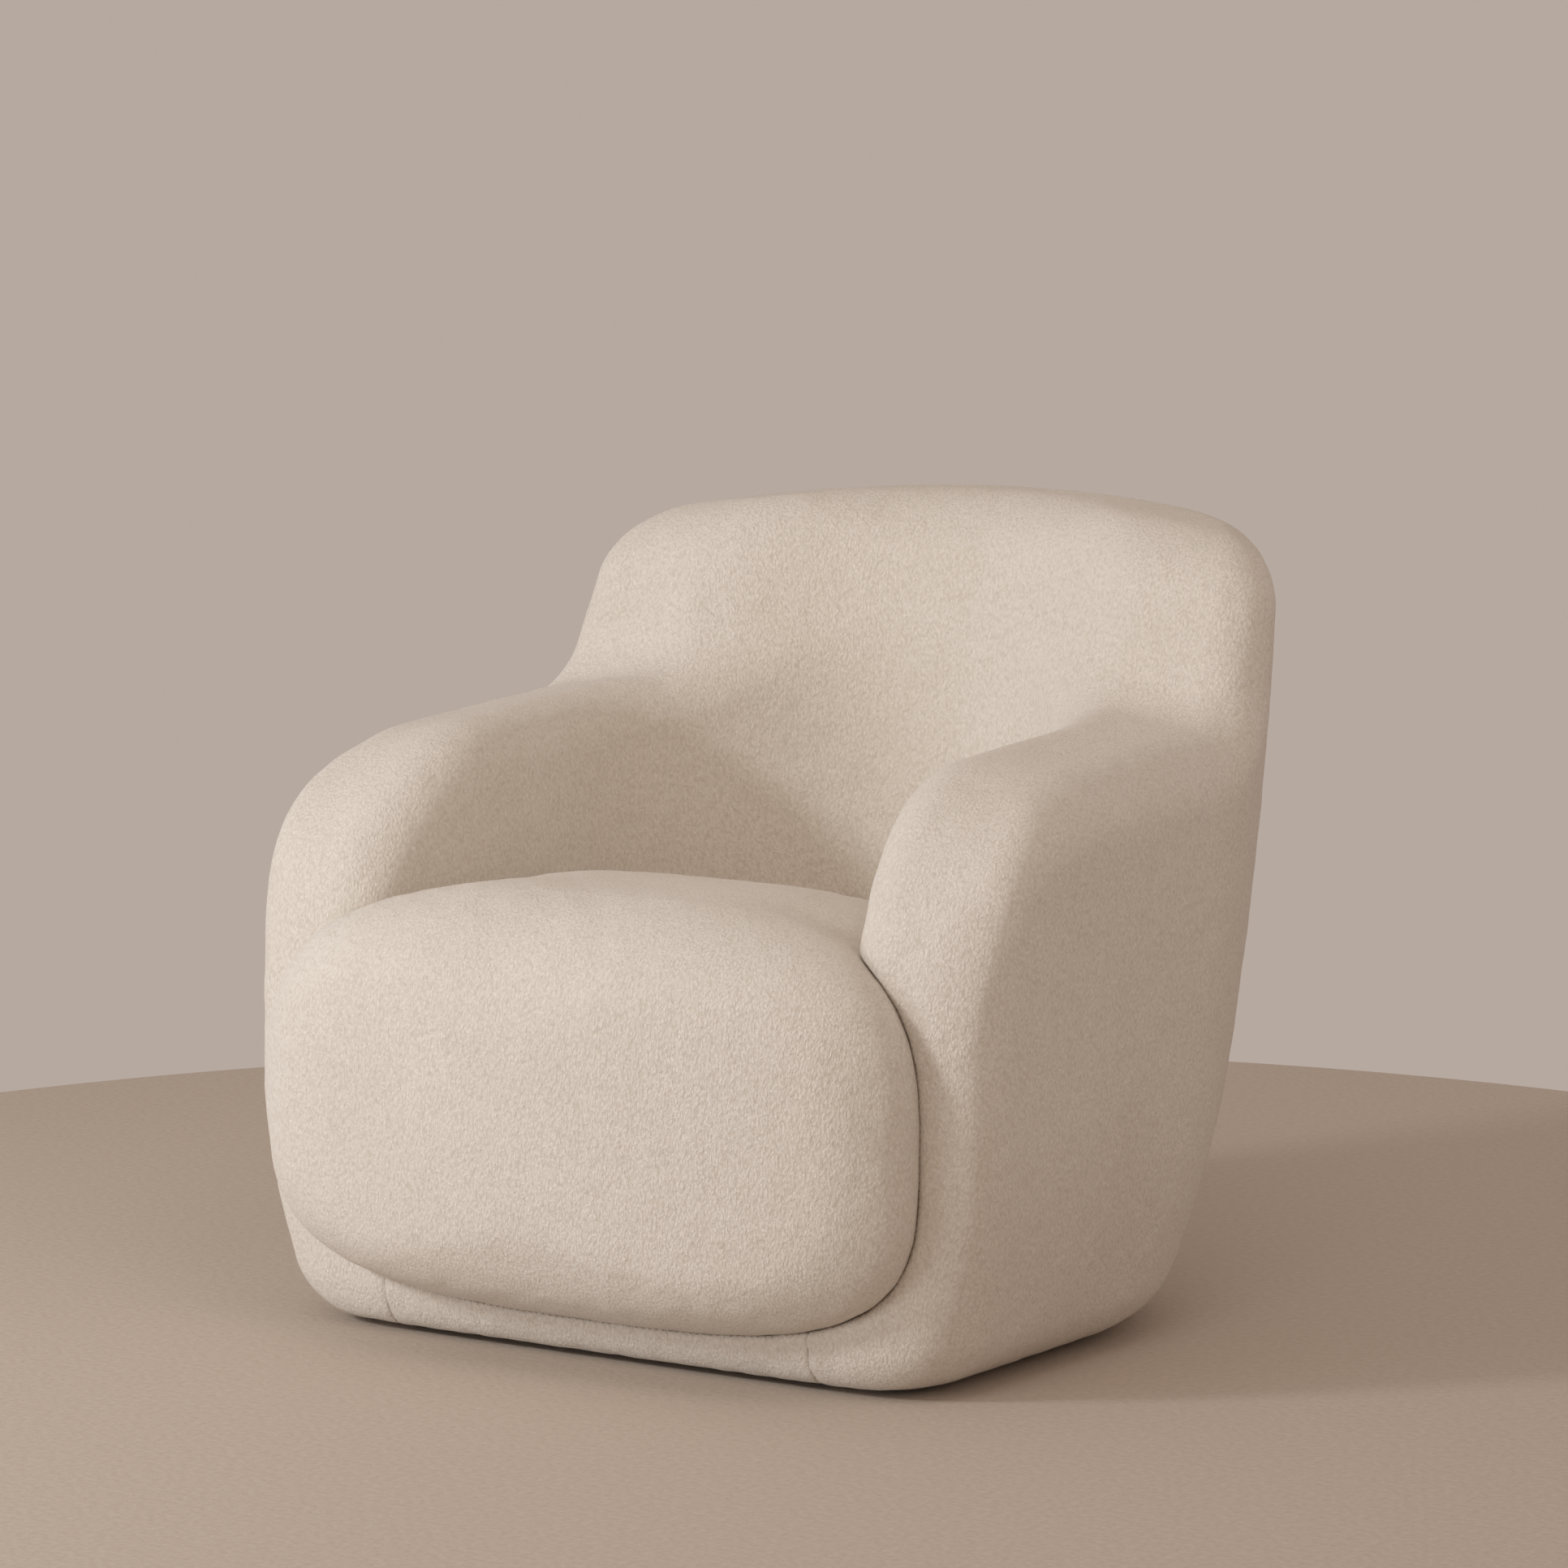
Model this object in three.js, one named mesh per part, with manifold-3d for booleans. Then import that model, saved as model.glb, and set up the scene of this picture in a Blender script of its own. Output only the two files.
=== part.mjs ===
// Tub lounge armchair, in millimetres, +Z up, front towards -Y, +X to the sitter's left.
// A wide upholstered shell (arms and back in one) wraps round a large seat pod.
// Under the covers are foam pads, a timber and plywood frame, sinuous springs and webbing.
import * as THREE from 'three';
import { ParametricGeometry } from 'three/addons/geometries/ParametricGeometry.js';
import { mergeVertices } from 'three/addons/utils/BufferGeometryUtils.js';
import Module from 'manifold-3d';

const wasm = await Module();
wasm.setup();

// ---------------------------------------------------------------- driving dimensions
const SHELL = {
  halfWidth: 418, baseHalfWidth: 377, flareHeight: 248, sideLean: 0.025,
  sideBow: 7.5, widestY: -18, halfLength: 400,
  frontY: -332, frontBow: 11, frontLean: 0.064, frontTuck: 6.6, frontTuckHeight: 150,
  frontCorner: 71, frontCornerBase: 103, frontCornerHeight: 220,
  backTopY: 429.5, backBaseY: 275.5, backRakeHeight: 782, backBow: 66, backCorner: 242,
  bottomZ: 6, bottomRound: 49,
  armTopZ: 559.5, armRise: 0.061, armFall: 0.135, armCrestX: 370, armNose: 224,
  backTopZ: 767.4, backDrop: 39.4, wingY: 177, wingZ: 560, wingRake: 0.407, wingRound: 56,
  wingJoin: 33, outerEdge: 35, armRim: 53, backRim: 75, rimChangeZ: 540, rimChangeHeight: 140,
};
const WELL = {                       // the open space between arms and back
  halfWidth: 241, frontFlare: 27.7, flareStartY: -155, flareLength: 200,
  backY: 237.7, backLean: 0.149, leanFromZ: 420, bow: 20, bowSpan: 300,
  corner: 222, bottomZ: 315, bottomRound: 60,
};
const POD = {                        // the seat and its bulging front, one big pillow
  halfWidth: 383.6, tuckedBy: 97.4, tuckStartY: -375, tuckLength: 150,
  centreZ: 225.7, rise: 210.6, drop: 186.3, squareness: 3.2,
  rearFall: 74.8, fallStartY: -195, fallLength: 430,
  frontY: -429.7, sideSweep: 56, topSweep: 11, frontRound: 72,
  rearY: 264.7, rearRound: 60, rearRake: 0.3,
};
const COVER = 4;                     // fabric with its wadding
const HEM = 6;                       // strip of cover turned under the base
const CLEAR = 0.4;                   // gap between neighbouring layers
const POD_GAP = 1;                   // gap between the pod and the shell cover
const LINING_Z = SHELL.bottomZ + COVER + 1; // lowest level inside the cover
const THICKEST_WALL = 185;           // the wall stops this far in from the outside
const PADDING = 50;                  // foam over the shell frame
const SLIVER = 0.15;                 // facets thinner than this are dropped from cut solids
const SEAM_X = 238;                  // join between shell and plinth band at the front
const DECK_Z = 294;                  // underside of the seat foam
const FRAME_TOP = 285;               // top of the seat rails
const RAIL = { height: 45, thick: 30 };
const BOARD = {
  bottomZ: 11.6, thick: 12, halfWidth: 304, frontY: -276, backY: 222, frontCorner: 68, backCorner: 190,
};
const JOINT = 0.3;                   // gap in a glued or screwed joint
const BOARD_TOP = BOARD.bottomZ + BOARD.thick + JOINT; // where the frame stands on the base board
const FRONT_PANEL = { frontY: -300, thick: 18, halfWidth: 300 };
const REAR_RAIL = { frontY: 225, halfWidth: 300 };
const SIDE_RAIL_OUTER = 302.7;
const PANEL = { innerX: 330, thick: 15, topZ: 455 };
const POST = { innerX: 310, width: 19.6, frontY: -242, depth: 60, topZ: 410 };
const ARM_RAIL = { thick: 20, width: 78, frontY: -172, backY: 120 };
const RIB = {
  thick: 22, centres: [-203, -90, 90, 203], topZ: 660, topFrontY: 334, topBackY: 380, kneeZ: 320, kneeY: 296,
};
const SPRING = { wire: 1.9, swing: 24, straightEnd: 20, bends: 9, centres: [-200, -100, 0, 100, 200] };
const STRAP = { width: 50, thick: 1.6, standOff: 0.5, heights: [370, 440, 510, 580] };
const GLIDE = { radius: 20, height: 9.8, places: [[-232, -215], [232, -215], [-165, 150], [165, 150]] };
const SCREW = { shank: 2.5, hole: 3, head: 5.5, headHeight: 2.6 };

// ---------------------------------------------------------------- small helpers
const clamp = (value, low, high) => Math.min(high, Math.max(low, value));
const smooth = (t) => {
  const s = clamp(t, 0, 1);
  return s * s * (3 - 2 * s);
};
const mix = (a, b, t) => a + (b - a) * t;

/** Both distances must be negative; their meeting edge is rounded by the radius. */
function roundBoth(a, b, radius) {
  return Math.min(-radius, Math.max(a, b)) + Math.hypot(Math.max(radius + a, 0), Math.max(radius + b, 0));
}

/** Either distance may be negative; their meeting corner is filled by the radius. */
function roundEither(a, b, radius) {
  return Math.max(radius, Math.min(a, b)) - Math.hypot(Math.max(radius - a, 0), Math.max(radius - b, 0));
}

// ---------------------------------------------------------------- form of the shell, as signed distances
function halfWidthAt(z) {
  const low = clamp(1 - (z - SHELL.bottomZ) / SHELL.flareHeight, 0, 1.2);
  const flare = (SHELL.halfWidth - SHELL.baseHalfWidth) * low * low;
  return SHELL.halfWidth - flare + SHELL.sideLean * (z - DECK_Z);
}

function backYAt(z) {
  const low = clamp(1 - (z - SHELL.bottomZ) / SHELL.backRakeHeight, 0, 1.1);
  return SHELL.backTopY - (SHELL.backTopY - SHELL.backBaseY) * low * low;
}

function frontYAt(z) {
  const low = clamp(1 - (z - SHELL.bottomZ) / SHELL.frontTuckHeight, 0, 1.2);
  return SHELL.frontY + SHELL.frontLean * (z - DECK_Z) + SHELL.frontTuck * low * low;
}

/** Plan of the chair at any height. */
function plan(x, y, z) {
  const across = x / SHELL.halfWidth;
  const along = (y - SHELL.widestY) / SHELL.halfLength;
  const side = Math.abs(x) - halfWidthAt(z) + SHELL.sideBow * along * along;
  const back = y - backYAt(z) + SHELL.backBow * across * across;
  const front = frontYAt(z) - SHELL.frontBow * (1 - across * across) - y;
  const low = 1 - smooth((z - SHELL.bottomZ) / SHELL.frontCornerHeight);
  const corner = mix(SHELL.frontCorner, SHELL.frontCornerBase, low);
  return roundBoth(roundBoth(side, back, SHELL.backCorner), front, corner);
}

/** Outside of the chair, rounded under at the floor. */
function outside(x, y, z) {
  return roundBoth(plan(x, y, z), SHELL.bottomZ - z, SHELL.bottomRound);
}

/** Side view: low arms with a round nose, rising through the wings to the back. */
function sideProfile(x, y, z) {
  const across = x / SHELL.halfLength;
  const armTop = SHELL.armTopZ + SHELL.armRise * y - SHELL.armFall * (Math.abs(x) - SHELL.armCrestX);
  const arm = roundBoth(SHELL.frontY - COVER - y, z - armTop, SHELL.armNose);
  const rake = (SHELL.wingY + (z - SHELL.wingZ) * SHELL.wingRake - y) / Math.hypot(1, SHELL.wingRake);
  const crown = z - SHELL.backTopZ + SHELL.backDrop * across * across;
  return roundEither(arm, roundBoth(rake, crown, SHELL.wingRound), SHELL.wingJoin);
}

/** The well that the sitter's body fills, open at the front and top. */
function well(x, y, z) {
  const flare = WELL.frontFlare * smooth((WELL.flareStartY - y) / WELL.flareLength);
  const side = Math.abs(x) - WELL.halfWidth - flare;
  const across = x / WELL.bowSpan;
  const back = y - WELL.backY - WELL.backLean * (z - WELL.leanFromZ) + WELL.bow * across * across;
  return roundBoth(roundBoth(side, back, WELL.corner), WELL.bottomZ - z, WELL.bottomRound);
}

function pod(x, y, z) {
  const above = z > POD.centreZ;
  const rise = POD.rise - POD.rearFall * smooth((y - POD.fallStartY) / POD.fallLength);
  const up = (z - POD.centreZ) / (above ? rise : POD.drop);
  const halfWidth = POD.halfWidth - POD.tuckedBy * smooth((y - POD.tuckStartY) / POD.tuckLength);
  const across = x / halfWidth;
  const power = POD.squareness;
  const ring = Math.pow(Math.abs(across) ** power + Math.abs(up) ** power + 1e-9, 1 / power);
  const section = (ring - 1) * (Math.hypot(x, z - POD.centreZ) + 1) / (ring + 0.004);
  const front = POD.frontY - y + POD.sideSweep * across * across + POD.topSweep * up * up;
  const rear = y - POD.rearY - POD.rearRake * Math.min(0, z - DECK_Z);
  return roundBoth(roundBoth(section, front, POD.frontRound), rear, POD.rearRound);
}

/** Shell wall: outside, minus the well, minus the pod, ending at the front seams. */
function wall(x, y, z) {
  const edged = roundBoth(outside(x, y, z), sideProfile(x, y, z), SHELL.outerEdge);
  const rim = mix(SHELL.armRim, SHELL.backRim, smooth((z - SHELL.rimChangeZ) / SHELL.rimChangeHeight));
  const hollowed = roundBoth(edged, -well(x, y, z), rim);
  const seamPlane = SEAM_X - Math.abs(x) - 3 * Math.max(0, y + 150);
  const innerLimit = -plan(x, y, z) - THICKEST_WALL;
  return Math.max(hollowed, -pod(x, y, z), seamPlane, innerLimit);
}

/** Room for the timber frame inside the shell wall, under its padding. */
function frameRoom(x, y, z) {
  const inner = PADDING - well(x, y, z);
  const top = sideProfile(x, y, z) + PADDING;
  const front = frontYAt(z) + PADDING - y;
  return Math.max(outside(x, y, z) - 20, roundBoth(inner, top, 15), front, -plan(x, y, z) - THICKEST_WALL);
}

// ---------------------------------------------------------------- surfaces found along rays
/** Distance from an inside point to the surface of a form. */
function reach(form, origin, direction) {
  const stride = 6;
  const farthest = 900;
  const at = (t) => form(origin.x + direction.x * t, origin.y + direction.y * t, origin.z + direction.z * t);
  let outer = stride;
  while (outer < farthest && at(outer) < 0) outer += stride;
  let inner = outer - stride;
  for (let turn = 0; turn < 18; turn += 1) {
    const middle = (inner + outer) / 2;
    if (at(middle) < 0) inner = middle;
    else outer = middle;
  }
  return inner;
}

/** Plan of the wall's middle line: noses, arms, back corners and back, from left (0) to right (1). */
const STRETCHES = [
  { kind: 'nose', share: 4 }, { kind: 'arm', share: 4 }, { kind: 'corner', share: 5 }, { kind: 'back', share: 2 },
];
const HALF_STATIONS = STRETCHES.reduce((sum, part) => sum + part.share, 0);
const MIDDLE_INSET = 62;
const NOSE_Y = -235;

/** Point of the middle line at a station and height, with its outward and inward directions. */
function middleLine(station, z) {
  const side = station <= HALF_STATIONS ? 1 : -1;
  let step = side > 0 ? station : 2 * HALF_STATIONS - station;
  let part = 0;
  while (step > STRETCHES[part].share) {
    step -= STRETCHES[part].share;
    part += 1;
  }
  const t = step / STRETCHES[part].share;
  const centreX = halfWidthAt(z) - SHELL.backCorner;
  const centreY = backYAt(z) - SHELL.backCorner;
  const armX = halfWidthAt(z) - MIDDLE_INSET;
  const radius = SHELL.backCorner - MIDDLE_INSET;
  const quarter = Math.PI / 2;
  const shapes = {
    nose: () => ({ x: armX, y: NOSE_Y, out: -quarter * (1 - t), into: -quarter - quarter * t }),
    arm: () => ({ x: armX, y: mix(NOSE_Y, centreY, t), out: 0, into: -Math.PI }),
    corner: () => ({
      x: centreX + radius * Math.cos(quarter * t),
      y: centreY + radius * Math.sin(quarter * t),
      out: quarter * t,
      into: -Math.PI + quarter * t,
    }),
    back: () => ({ x: centreX * (1 - t), y: centreY + radius, out: quarter, into: -quarter }),
  };
  const place = shapes[STRETCHES[part].kind]();
  const direction = (angle) => ({ x: side * Math.cos(angle), y: Math.sin(angle) });
  return { x: side * place.x, y: place.y, out: direction(place.out), into: direction(place.into) };
}

const LEVELS = 6;
const FAN = 7;
const FAN_DROP = 60;

/**
 * Closed U-shaped solid of a form: wall sections at stations along the middle line.
 * The lowest level hangs straight down to floorZ; the guide form sets where the top fan starts.
 */
function uShape(form, bottomZ, floorZ, guide) {
  const stations = 2 * HALF_STATIONS;
  const ring = 2 * (LEVELS + 1) + FAN;
  const fanBases = [];
  for (let station = 0; station <= stations; station += 1) {
    let top = bottomZ + 5;
    const inside = (z) => {
      const middle = middleLine(station, z);
      return guide(middle.x, middle.y, z) < 0;
    };
    while (inside(top)) top += 2;
    fanBases.push(top - FAN_DROP);
  }
  const point = (u, v, target) => {
    const station = Math.round(v * stations);
    const index = Math.round(u * ring) % ring;
    const base = fanBases[station];
    const outer = index <= LEVELS;
    const onFan = index > LEVELS && index <= LEVELS + FAN;
    const level = outer ? index : ring - 1 - index;
    const height = Math.max(0, level - 1) / (LEVELS - 1);
    const z = onFan ? base : mix(bottomZ, base, height ** 1.8);
    const middle = middleLine(station, z);
    const lift = onFan ? Math.PI * (index - LEVELS) / (FAN + 1) : 0;
    const heading = outer || (onFan && lift <= Math.PI / 2) ? middle.out : middle.into;
    const flat = onFan ? Math.abs(Math.cos(lift)) : 1;
    const direction = { x: heading.x * flat, y: heading.y * flat, z: onFan ? Math.sin(lift) : 0 };
    const far = reach(form, { x: middle.x, y: middle.y, z }, direction);
    const low = !onFan && level === 0;
    target.set(middle.x + direction.x * far, middle.y + direction.y * far, low ? floorZ : z + direction.z * far);
  };
  return new ParametricGeometry(point, ring, stations);
}

/** Closed pillow of a form, seen from its middle, with spokes spread over a stretched sphere. */
function pillow(form, centre, stretch, around, rings) {
  const point = (u, v, target) => {
    const turn = 2 * Math.PI * (Math.round(u * around) % around) / around;
    const tilt = Math.PI * (1 - v);
    const spoke = new THREE.Vector3(
      stretch.x * Math.sin(tilt) * Math.cos(turn),
      stretch.y * Math.sin(tilt) * Math.sin(turn),
      stretch.z * Math.cos(tilt),
    ).normalize();
    target.copy(centre).addScaledVector(spoke, reach(form, centre, spoke));
  };
  return new ParametricGeometry(point, around, rings);
}

/** Upright core of the chair's base: the outside in plan, inset, drawn in more where the hem turns under. */
function baseCore(inset, lowZ, highZ) {
  const around = 60;
  const centreY = -20;
  const hemTop = LINING_Z;
  const heights = [lowZ, hemTop, hemTop + 0.5, 24, 45, 80, 125, 175, 230, highZ];
  const point = (u, v, target) => {
    const turn = 2 * Math.PI * (Math.round(u * around) % around) / around;
    const row = Math.round(v * (heights.length + 1));
    const z = heights[clamp(row - 1, 0, heights.length - 1)];
    const drawnIn = inset + (z <= hemTop ? HEM : 0);
    const form = (x, y) => outside(x, y, Math.max(z, hemTop));
    const direction = { x: Math.cos(turn), y: Math.sin(turn), z: 0 };
    const end = row === 0 || row === heights.length + 1;
    const far = end ? 0 : reach(form, { x: 0, y: centreY, z }, direction) - drawnIn;
    target.set(direction.x * far, centreY + direction.y * far, z);
  };
  return new ParametricGeometry(point, around, heights.length + 1);
}

// ---------------------------------------------------------------- solids
/** A closed geometry as a solid that can be joined and cut. */
function solid(geometry) {
  deleteAttributes(geometry);
  const merged = mergeVertices(geometry, 1e-3);
  const triangles = [];
  const index = merged.index.array;
  for (let i = 0; i < index.length; i += 3) {
    const [a, b, c] = [index[i], index[i + 1], index[i + 2]];
    if (a !== b && b !== c && c !== a) triangles.push(a, b, c);
  }
  const mesh = new wasm.Mesh({
    numProp: 3,
    vertProperties: new Float32Array(merged.attributes.position.array),
    triVerts: new Uint32Array(triangles),
  });
  const made = new wasm.Manifold(mesh);
  return made.volume() < 0 ? solid(turned(merged)) : made;
}

/** The main body of a cut solid, without the crumbs that thin crossings leave. */
function largest(shape) {
  return shape.decompose().reduce((best, piece) => (piece.volume() > best.volume() ? piece : best));
}

function deleteAttributes(geometry) {
  for (const name of ['normal', 'uv']) {
    if (geometry.attributes[name]) geometry.deleteAttribute(name);
  }
}

/** The same surface with every triangle facing the other way. */
function turned(geometry) {
  const index = geometry.index.array;
  for (let i = 0; i < index.length; i += 3) {
    [index[i], index[i + 1]] = [index[i + 1], index[i]];
  }
  return geometry;
}

/** A cut solid as geometry, with the slivers of near-touching cuts smoothed away. */
function geometryOf(shape) {
  const mesh = largest(shape.simplify(SLIVER)).getMesh();
  const geometry = new THREE.BufferGeometry();
  geometry.setAttribute('position', new THREE.BufferAttribute(new Float32Array(mesh.vertProperties), 3));
  geometry.setIndex(new THREE.BufferAttribute(new Uint32Array(mesh.triVerts), 1));
  geometry.computeVertexNormals();
  return geometry;
}

/** Box between two corners. */
function block(low, high) {
  const box = new THREE.BoxGeometry(high[0] - low[0], high[1] - low[1], high[2] - low[2]);
  box.translate((low[0] + high[0]) / 2, (low[1] + high[1]) / 2, (low[2] + high[2]) / 2);
  return box;
}

/** Plan outline raised from one height to another. */
function raised(outline, lowZ, highZ, curveSegments = 8) {
  const body = new THREE.ExtrudeGeometry(outline, { depth: highZ - lowZ, bevelEnabled: false, curveSegments });
  body.translate(0, 0, lowZ);
  return body;
}

/** Outline drawn in side view (y, z), given a thickness across the chair from x upwards. */
function sideCut(outline, x, thickness, curveSegments = 8) {
  const body = new THREE.ExtrudeGeometry(outline, { depth: thickness, bevelEnabled: false, curveSegments });
  const axes = new THREE.Matrix4().makeBasis(
    new THREE.Vector3(0, 1, 0), new THREE.Vector3(0, 0, 1), new THREE.Vector3(1, 0, 0),
  );
  body.applyMatrix4(axes);
  body.translate(x, 0, 0);
  return body;
}

// ---------------------------------------------------------------- materials
const finish = (color, roughness, metalness = 0) => new THREE.MeshStandardMaterial({ color, roughness, metalness });
const BOUCLE = finish('#d9cfc0', 0.95);
const FOAM = finish('#e6d9a8', 0.9);
const PINE = finish('#c9a36a', 0.7);
const PLY = finish('#b98f5c', 0.7);
const STEEL = finish('#8d9196', 0.4, 1);
const BLACK_CLOTH = finish('#1d1c1b', 0.95);
const WEBBING = finish('#4a4742', 0.9);
const BLACK_PLASTIC = finish('#161616', 0.55);

const chair = new THREE.Group();
function add(name, geometry, material) {
  const mesh = new THREE.Mesh(geometry, material);
  mesh.name = name;
  chair.add(mesh);
  return mesh;
}

// ---------------------------------------------------------------- upholstery
const podCentre = new THREE.Vector3(0, -80, POD.centreZ);
const podStretch = new THREE.Vector3(POD.halfWidth, 345, 200);
const podLoft = (offset) => solid(pillow((x, y, z) => pod(x, y, z) + offset, podCentre, podStretch, 28, 16));
const wallLoft = (offset, bottomZ) => {
  const inset = (x, y, z) => wall(x, y, z) + offset;
  return solid(uShape(inset, bottomZ, bottomZ - 0.5, wall));
};
const FAR = 1000;                    // beyond the chair in every direction
const PANEL_CLEAR = 3.6;
const behindFrontBoard = solid(block([-FAR, FRONT_PANEL.frontY - PANEL_CLEAR, -FAR], [FAR, FAR, DECK_Z]));
const aboveDeck = solid(block([-FAR, -FAR, DECK_Z + CLEAR], [FAR, FAR, FAR]));

/** One cover over back, arms and noses, open underneath. */
function shellCover() {
  const outer = wallLoft(0, SHELL.bottomZ + 1);
  const inner = wallLoft(COVER, LINING_Z);
  const coverDepth = COVER + 24;
  const core = solid(baseCore(coverDepth, -40, DECK_Z));
  return geometryOf(outer.subtract(inner).subtract(core).subtract(podLoft(-POD_GAP)));
}

/** Foam lining the well, rolled over the arms and the back. */
function shellFoam() {
  const outer = wallLoft(COVER + CLEAR, LINING_Z);
  const room = solid(uShape(frameRoom, DECK_Z - 30, DECK_Z - 40, frameRoom));
  return geometryOf(outer.intersect(aboveDeck).subtract(room).subtract(podLoft(-POD_GAP - COVER)));
}

/** Pillow cover of the seat, open at the back below the deck where the frame is. */
function podCover() {
  return geometryOf(podLoft(0).subtract(podLoft(COVER)).subtract(behindFrontBoard));
}

function seatFoam() {
  return geometryOf(podLoft(COVER + CLEAR).intersect(aboveDeck));
}

/** Thick pad in front of the front board, under the seat foam. */
function frontFoam() {
  const room = solid(block([-FAR, -FAR, 0], [FAR, FRONT_PANEL.frontY - CLEAR, DECK_Z - CLEAR]));
  return geometryOf(podLoft(COVER + CLEAR).intersect(room));
}

/** Slim padded band along the foot of the front, bowed like the front of the shell. */
function plinthBand() {
  const half = SEAM_X - CLEAR;
  const backY = -316;
  const height = 31;
  const bevel = 7;
  const setBack = 9;
  const footY = frontYAt(SHELL.bottomZ) + setBack;
  const endY = footY - SHELL.frontBow * (1 - (half / SHELL.halfWidth) ** 2);
  const bowY = footY - SHELL.frontBow * 1.4;
  const outline = new THREE.Shape();
  outline.moveTo(half - bevel, backY - bevel);
  outline.lineTo(half - bevel, endY + bevel);
  outline.quadraticCurveTo(0, bowY + bevel, -half + bevel, endY + bevel);
  outline.lineTo(-half + bevel, backY - bevel);
  const edges = { bevelSize: bevel, bevelThickness: bevel, bevelSegments: 2 };
  const settings = { depth: height - 2 * bevel, curveSegments: 8, ...edges };
  const band = new THREE.ExtrudeGeometry(outline, settings);
  band.translate(0, 0, SHELL.bottomZ + JOINT + bevel);
  return band;
}

// ---------------------------------------------------------------- base
/** Plan outline of the base board: straight front, round back. */
function baseOutline(inset, holeRadius) {
  const half = BOARD.halfWidth - inset;
  const front = BOARD.frontY + inset;
  const back = BOARD.backY - inset;
  const near = BOARD.frontCorner - inset;
  const far = BOARD.backCorner - inset;
  const outline = new THREE.Shape();
  outline.moveTo(-half + near, front);
  outline.absarc(half - near, front + near, near, -Math.PI / 2, 0);
  outline.absarc(half - far, back - far, far, 0, Math.PI / 2);
  outline.absarc(-half + far, back - far, far, Math.PI / 2, Math.PI);
  outline.absarc(-half + near, front + near, near, Math.PI, 1.5 * Math.PI);
  for (const [x, y] of GLIDE.places) {
    const hole = new THREE.Path();
    hole.absarc(x, y, holeRadius, 0, 2 * Math.PI, true);
    outline.holes.push(hole);
  }
  return outline;
}

function glide() {
  const { radius, height } = GLIDE;
  const profile = [
    [0, 0], [radius - 2, 0], [radius, 2], [radius, height], [SCREW.hole, height], [SCREW.hole, 2.5], [0, 2.5],
  ].map(([r, z]) => new THREE.Vector2(r, z));
  const disc = new THREE.LatheGeometry(profile, 16);
  disc.rotateX(Math.PI / 2);
  return disc;
}

/** Screw from the base board down into the glide. */
function glideScrew() {
  const tipZ = 4;
  const profile = [
    [0, tipZ], [SCREW.shank, tipZ + 2], [SCREW.shank, BOARD_TOP], [SCREW.head, BOARD_TOP],
    [SCREW.head - 1.5, BOARD_TOP + SCREW.headHeight], [0, BOARD_TOP + SCREW.headHeight],
  ].map(([r, z]) => new THREE.Vector2(r, z));
  const screw = new THREE.LatheGeometry(profile, 10);
  screw.rotateX(Math.PI / 2);
  return screw;
}

// ---------------------------------------------------------------- timber frame
/** Plywood side of the arm in side view, with a lightening hole. */
function armPanel(side) {
  const outline = new THREE.Shape();
  outline.moveTo(-215, BOARD_TOP);
  outline.lineTo(40, BOARD_TOP);
  outline.quadraticCurveTo(130, 200, 150, PANEL.topZ);
  outline.lineTo(-180, PANEL.topZ);
  outline.quadraticCurveTo(-235, PANEL.topZ, -250, 380);
  outline.lineTo(-250, 160);
  const hole = new THREE.Path();
  hole.moveTo(-180, 140);
  hole.absarc(-140, 330, 40, Math.PI, Math.PI / 2, true);
  hole.absarc(30, 330, 40, Math.PI / 2, 0, true);
  hole.absarc(-10, 140, 40, 0, -Math.PI / 2, true);
  hole.absarc(-140, 140, 40, -Math.PI / 2, -Math.PI, true);
  outline.holes.push(hole);
  return sideCut(outline, side > 0 ? PANEL.innerX : -PANEL.innerX - PANEL.thick, PANEL.thick, 5);
}

function sideBlock(side, inner, outer, yLow, yHigh, zLow, zHigh) {
  const [a, b] = side > 0 ? [inner, outer] : [-outer, -inner];
  return block([a, yLow, zLow], [b, yHigh, zHigh]);
}

/** Raked upright of the back, in side view. */
function rib(x) {
  const outline = new THREE.Shape();
  outline.moveTo(142, BOARD_TOP);
  outline.lineTo(172, BOARD_TOP);
  outline.quadraticCurveTo(298, 190, 348, 340);
  outline.lineTo(RIB.topBackY, RIB.topZ);
  outline.lineTo(RIB.topFrontY, RIB.topZ);
  outline.lineTo(RIB.kneeY, RIB.kneeZ);
  outline.quadraticCurveTo(250, 190, 142, BOARD_TOP);
  return sideCut(outline, x - RIB.thick / 2, RIB.thick, 6);
}

/** Curved board across the tops of the ribs. */
function topRail() {
  const straight = 150;
  const backY = 385;
  const radius = 195;
  const depth = 48;
  const sweep = THREE.MathUtils.degToRad(50);
  const up = Math.PI / 2;
  const centreY = backY - radius;
  const outline = new THREE.Shape();
  outline.absarc(straight, centreY, radius, up - sweep, up);
  outline.absarc(-straight, centreY, radius, up, up + sweep);
  outline.absarc(-straight, centreY, radius - depth, up + sweep, up, true);
  outline.absarc(straight, centreY, radius - depth, up, up - sweep, true);
  return raised(outline, RIB.topZ + JOINT, RIB.topZ + 22, 6);
}

/** Glue block filling an inside corner of the seat frame. */
function cornerBlock(x, y, toMiddle, toRear) {
  const leg = 70;
  const outline = new THREE.Shape();
  outline.moveTo(x, y);
  outline.lineTo(x + toMiddle * leg, y);
  outline.lineTo(x, y + toRear * leg);
  return raised(outline, FRAME_TOP - RAIL.height, FRAME_TOP);
}

// ---------------------------------------------------------------- springs and webbing
const SPRING_Z = FRAME_TOP + JOINT + SPRING.wire;
const SPRING_FRONT = FRONT_PANEL.frontY + 9;
const SPRING_REAR = REAR_RAIL.frontY + 16;

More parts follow.
